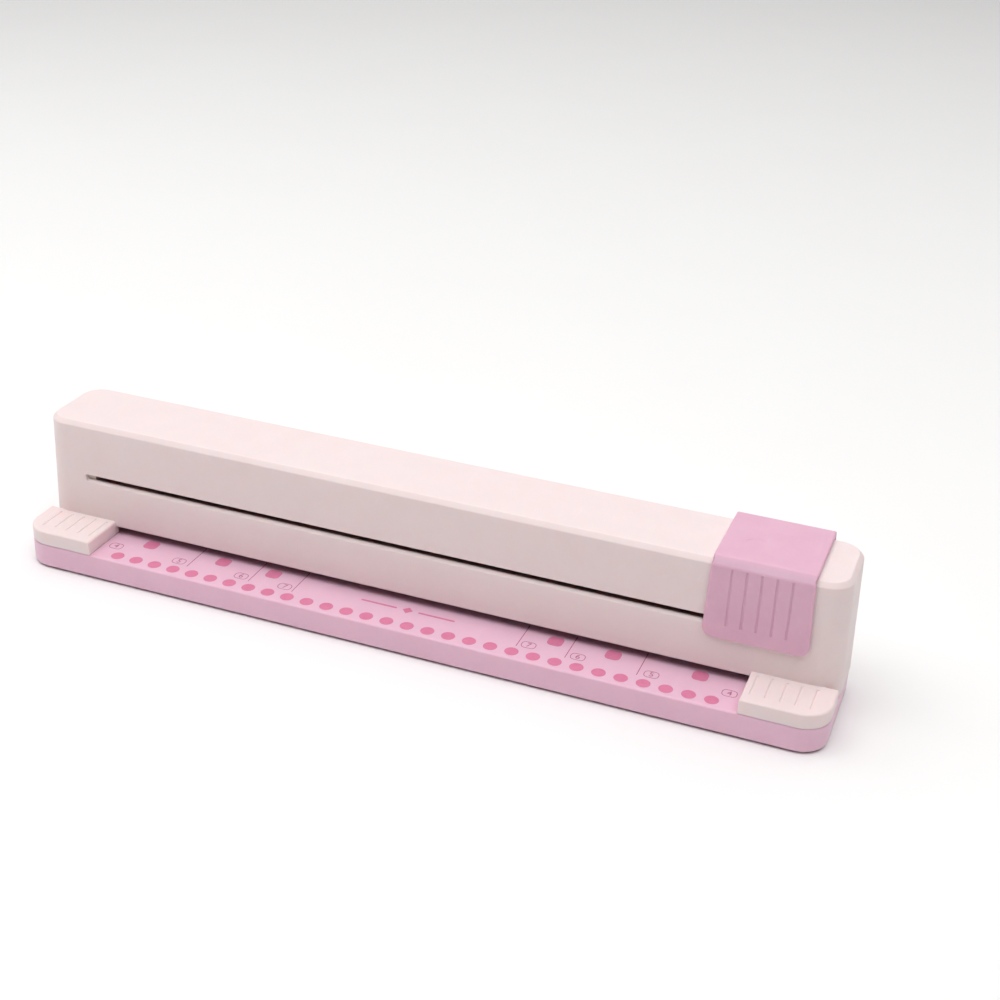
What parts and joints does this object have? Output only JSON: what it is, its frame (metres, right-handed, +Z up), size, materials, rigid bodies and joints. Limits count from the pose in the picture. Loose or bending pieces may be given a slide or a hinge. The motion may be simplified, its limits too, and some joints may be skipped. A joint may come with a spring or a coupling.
{
  "type": "sliding multi-hole paper punch",
  "caption": "Long desktop punch for loose-leaf paper: a cap slid along the top presses a row of spring-returned pins, one after another, through a sheet in the throat below.",
  "frame": {"origin": "under the middle of the punch, on the surface its feet stand on", "axes": "+X along the punch to the right, +Y to the rear, away from the side where the paper goes in, +Z up"},
  "size_m": [0.37, 0.0628, 0.0679],
  "materials": {
    "cream_plastic": "satin moulded, cream",
    "pink_base": "satin moulded, light pink, printed marks on top",
    "pink_slider": "satin moulded, pink",
    "pink_tray": "satin moulded, pink",
    "ground_steel": "ground",
    "plated_steel": "zinc plated sheet",
    "pin_steel": "turned and hardened",
    "spring_copper": "copper-coloured coil springs",
    "white_plastic": "slippery white plastic",
    "soft_cream": "soft buffer",
    "screw_steel": "zinc plated",
    "foot_rubber": "soft dark rubber"
  },
  "bodies": {
    "punch": {"base": "pink_base", "bottom_plate": "pink_base", "bottom_screws": "screw_steel", "bracket_screws": "screw_steel", "die_plate": "ground_steel", "end_stop_left": "soft_cream", "end_stop_right": "soft_cream", "frame_screws": "screw_steel", "guide_rod_front": "ground_steel", "guide_rod_rear": "ground_steel", "housing": "cream_plastic", "housing_screws": "screw_steel", "paper_stop": "pink_base", "pin_springs": "spring_copper", "punch_frame": "plated_steel", "rod_bracket_left": "plated_steel", "rod_bracket_right": "plated_steel", "rubber_feet": "foot_rubber", "throat_spacer_left": "white_plastic", "throat_spacer_right": "white_plastic", "unit_screws": "screw_steel"},
    "slider": {"slider_cap": "pink_slider", "carriage": "white_plastic", "cam_wedge": "ground_steel", "cam_screws": "screw_steel", "cap_screws": "screw_steel"},
    "tray": {"tray_floor": "pink_tray", "tray_rails": "pink_tray", "tray_end": "pink_tray", "tray_front": "pink_tray"},
    "punch_pin_01": {"punch_pin_01": "pin_steel"},
    "punch_pin_02": {"punch_pin_02": "pin_steel"},
    "punch_pin_03": {"punch_pin_03": "pin_steel"},
    "punch_pin_04": {"punch_pin_04": "pin_steel"},
    "punch_pin_05": {"punch_pin_05": "pin_steel"},
    "punch_pin_06": {"punch_pin_06": "pin_steel"},
    "punch_pin_07": {"punch_pin_07": "pin_steel"},
    "punch_pin_08": {"punch_pin_08": "pin_steel"},
    "punch_pin_09": {"punch_pin_09": "pin_steel"},
    "punch_pin_10": {"punch_pin_10": "pin_steel"},
    "punch_pin_11": {"punch_pin_11": "pin_steel"},
    "punch_pin_12": {"punch_pin_12": "pin_steel"},
    "punch_pin_13": {"punch_pin_13": "pin_steel"},
    "punch_pin_14": {"punch_pin_14": "pin_steel"},
    "punch_pin_15": {"punch_pin_15": "pin_steel"},
    "punch_pin_16": {"punch_pin_16": "pin_steel"},
    "punch_pin_17": {"punch_pin_17": "pin_steel"},
    "punch_pin_18": {"punch_pin_18": "pin_steel"},
    "punch_pin_19": {"punch_pin_19": "pin_steel"},
    "punch_pin_20": {"punch_pin_20": "pin_steel"},
    "punch_pin_21": {"punch_pin_21": "pin_steel"},
    "punch_pin_22": {"punch_pin_22": "pin_steel"},
    "punch_pin_23": {"punch_pin_23": "pin_steel"},
    "punch_pin_24": {"punch_pin_24": "pin_steel"},
    "punch_pin_25": {"punch_pin_25": "pin_steel"},
    "punch_pin_26": {"punch_pin_26": "pin_steel"},
    "punch_pin_27": {"punch_pin_27": "pin_steel"},
    "punch_pin_28": {"punch_pin_28": "pin_steel"},
    "punch_pin_29": {"punch_pin_29": "pin_steel"},
    "punch_pin_30": {"punch_pin_30": "pin_steel"}
  },
  "joints": [
    {"name": "slider_slide", "type": "slide", "parent": "punch", "child": "slider", "axis": [1, 0, 0], "range_m": [-0.2984, 0]},
    {"name": "chip_tray_slide", "type": "slide", "parent": "punch", "child": "tray", "axis": [-1, 0, 0], "range_m": [0, 0.3]},
    {"name": "pin_01_slide", "type": "slide", "parent": "punch", "child": "punch_pin_01", "axis": [0, 0, 1], "range_m": [-0.0053, 0], "stiffness_N_per_m": 300, "springref_m": 0.005, "deforming": ["pin_springs"]},
    {"name": "pin_02_slide", "type": "slide", "parent": "punch", "child": "punch_pin_02", "axis": [0, 0, 1], "range_m": [-0.0053, 0], "stiffness_N_per_m": 300, "springref_m": 0.005, "deforming": ["pin_springs"]},
    {"name": "pin_03_slide", "type": "slide", "parent": "punch", "child": "punch_pin_03", "axis": [0, 0, 1], "range_m": [-0.0053, 0], "stiffness_N_per_m": 300, "springref_m": 0.005, "deforming": ["pin_springs"]},
    {"name": "pin_04_slide", "type": "slide", "parent": "punch", "child": "punch_pin_04", "axis": [0, 0, 1], "range_m": [-0.0053, 0], "stiffness_N_per_m": 300, "springref_m": 0.005, "deforming": ["pin_springs"]},
    {"name": "pin_05_slide", "type": "slide", "parent": "punch", "child": "punch_pin_05", "axis": [0, 0, 1], "range_m": [-0.0053, 0], "stiffness_N_per_m": 300, "springref_m": 0.005, "deforming": ["pin_springs"]},
    {"name": "pin_06_slide", "type": "slide", "parent": "punch", "child": "punch_pin_06", "axis": [0, 0, 1], "range_m": [-0.0053, 0], "stiffness_N_per_m": 300, "springref_m": 0.005, "deforming": ["pin_springs"]},
    {"name": "pin_07_slide", "type": "slide", "parent": "punch", "child": "punch_pin_07", "axis": [0, 0, 1], "range_m": [-0.0053, 0], "stiffness_N_per_m": 300, "springref_m": 0.005, "deforming": ["pin_springs"]},
    {"name": "pin_08_slide", "type": "slide", "parent": "punch", "child": "punch_pin_08", "axis": [0, 0, 1], "range_m": [-0.0053, 0], "stiffness_N_per_m": 300, "springref_m": 0.005, "deforming": ["pin_springs"]},
    {"name": "pin_09_slide", "type": "slide", "parent": "punch", "child": "punch_pin_09", "axis": [0, 0, 1], "range_m": [-0.0053, 0], "stiffness_N_per_m": 300, "springref_m": 0.005, "deforming": ["pin_springs"]},
    {"name": "pin_10_slide", "type": "slide", "parent": "punch", "child": "punch_pin_10", "axis": [0, 0, 1], "range_m": [-0.0053, 0], "stiffness_N_per_m": 300, "springref_m": 0.005, "deforming": ["pin_springs"]},
    {"name": "pin_11_slide", "type": "slide", "parent": "punch", "child": "punch_pin_11", "axis": [0, 0, 1], "range_m": [-0.0053, 0], "stiffness_N_per_m": 300, "springref_m": 0.005, "deforming": ["pin_springs"]},
    {"name": "pin_12_slide", "type": "slide", "parent": "punch", "child": "punch_pin_12", "axis": [0, 0, 1], "range_m": [-0.0053, 0], "stiffness_N_per_m": 300, "springref_m": 0.005, "deforming": ["pin_springs"]},
    {"name": "pin_13_slide", "type": "slide", "parent": "punch", "child": "punch_pin_13", "axis": [0, 0, 1], "range_m": [-0.0053, 0], "stiffness_N_per_m": 300, "springref_m": 0.005, "deforming": ["pin_springs"]},
    {"name": "pin_14_slide", "type": "slide", "parent": "punch", "child": "punch_pin_14", "axis": [0, 0, 1], "range_m": [-0.0053, 0], "stiffness_N_per_m": 300, "springref_m": 0.005, "deforming": ["pin_springs"]},
    {"name": "pin_15_slide", "type": "slide", "parent": "punch", "child": "punch_pin_15", "axis": [0, 0, 1], "range_m": [-0.0053, 0], "stiffness_N_per_m": 300, "springref_m": 0.005, "deforming": ["pin_springs"]},
    {"name": "pin_16_slide", "type": "slide", "parent": "punch", "child": "punch_pin_16", "axis": [0, 0, 1], "range_m": [-0.0053, 0], "stiffness_N_per_m": 300, "springref_m": 0.005, "deforming": ["pin_springs"]},
    {"name": "pin_17_slide", "type": "slide", "parent": "punch", "child": "punch_pin_17", "axis": [0, 0, 1], "range_m": [-0.0053, 0], "stiffness_N_per_m": 300, "springref_m": 0.005, "deforming": ["pin_springs"]},
    {"name": "pin_18_slide", "type": "slide", "parent": "punch", "child": "punch_pin_18", "axis": [0, 0, 1], "range_m": [-0.0053, 0], "stiffness_N_per_m": 300, "springref_m": 0.005, "deforming": ["pin_springs"]},
    {"name": "pin_19_slide", "type": "slide", "parent": "punch", "child": "punch_pin_19", "axis": [0, 0, 1], "range_m": [-0.0053, 0], "stiffness_N_per_m": 300, "springref_m": 0.005, "deforming": ["pin_springs"]},
    {"name": "pin_20_slide", "type": "slide", "parent": "punch", "child": "punch_pin_20", "axis": [0, 0, 1], "range_m": [-0.0053, 0], "stiffness_N_per_m": 300, "springref_m": 0.005, "deforming": ["pin_springs"]},
    {"name": "pin_21_slide", "type": "slide", "parent": "punch", "child": "punch_pin_21", "axis": [0, 0, 1], "range_m": [-0.0053, 0], "stiffness_N_per_m": 300, "springref_m": 0.005, "deforming": ["pin_springs"]},
    {"name": "pin_22_slide", "type": "slide", "parent": "punch", "child": "punch_pin_22", "axis": [0, 0, 1], "range_m": [-0.0053, 0], "stiffness_N_per_m": 300, "springref_m": 0.005, "deforming": ["pin_springs"]},
    {"name": "pin_23_slide", "type": "slide", "parent": "punch", "child": "punch_pin_23", "axis": [0, 0, 1], "range_m": [-0.0053, 0], "stiffness_N_per_m": 300, "springref_m": 0.005, "deforming": ["pin_springs"]},
    {"name": "pin_24_slide", "type": "slide", "parent": "punch", "child": "punch_pin_24", "axis": [0, 0, 1], "range_m": [-0.0053, 0], "stiffness_N_per_m": 300, "springref_m": 0.005, "deforming": ["pin_springs"]},
    {"name": "pin_25_slide", "type": "slide", "parent": "punch", "child": "punch_pin_25", "axis": [0, 0, 1], "range_m": [-0.0053, 0], "stiffness_N_per_m": 300, "springref_m": 0.005, "deforming": ["pin_springs"]},
    {"name": "pin_26_slide", "type": "slide", "parent": "punch", "child": "punch_pin_26", "axis": [0, 0, 1], "range_m": [-0.0053, 0], "stiffness_N_per_m": 300, "springref_m": 0.005, "deforming": ["pin_springs"]},
    {"name": "pin_27_slide", "type": "slide", "parent": "punch", "child": "punch_pin_27", "axis": [0, 0, 1], "range_m": [-0.0053, 0], "stiffness_N_per_m": 300, "springref_m": 0.005, "deforming": ["pin_springs"]},
    {"name": "pin_28_slide", "type": "slide", "parent": "punch", "child": "punch_pin_28", "axis": [0, 0, 1], "range_m": [-0.0053, 0], "stiffness_N_per_m": 300, "springref_m": 0.005, "deforming": ["pin_springs"]},
    {"name": "pin_29_slide", "type": "slide", "parent": "punch", "child": "punch_pin_29", "axis": [0, 0, 1], "range_m": [-0.0053, 0], "stiffness_N_per_m": 300, "springref_m": 0.005, "deforming": ["pin_springs"]},
    {"name": "pin_30_slide", "type": "slide", "parent": "punch", "child": "punch_pin_30", "axis": [0, 0, 1], "range_m": [-0.0053, 0], "stiffness_N_per_m": 300, "springref_m": 0.005, "deforming": ["pin_springs"]}
  ]
}
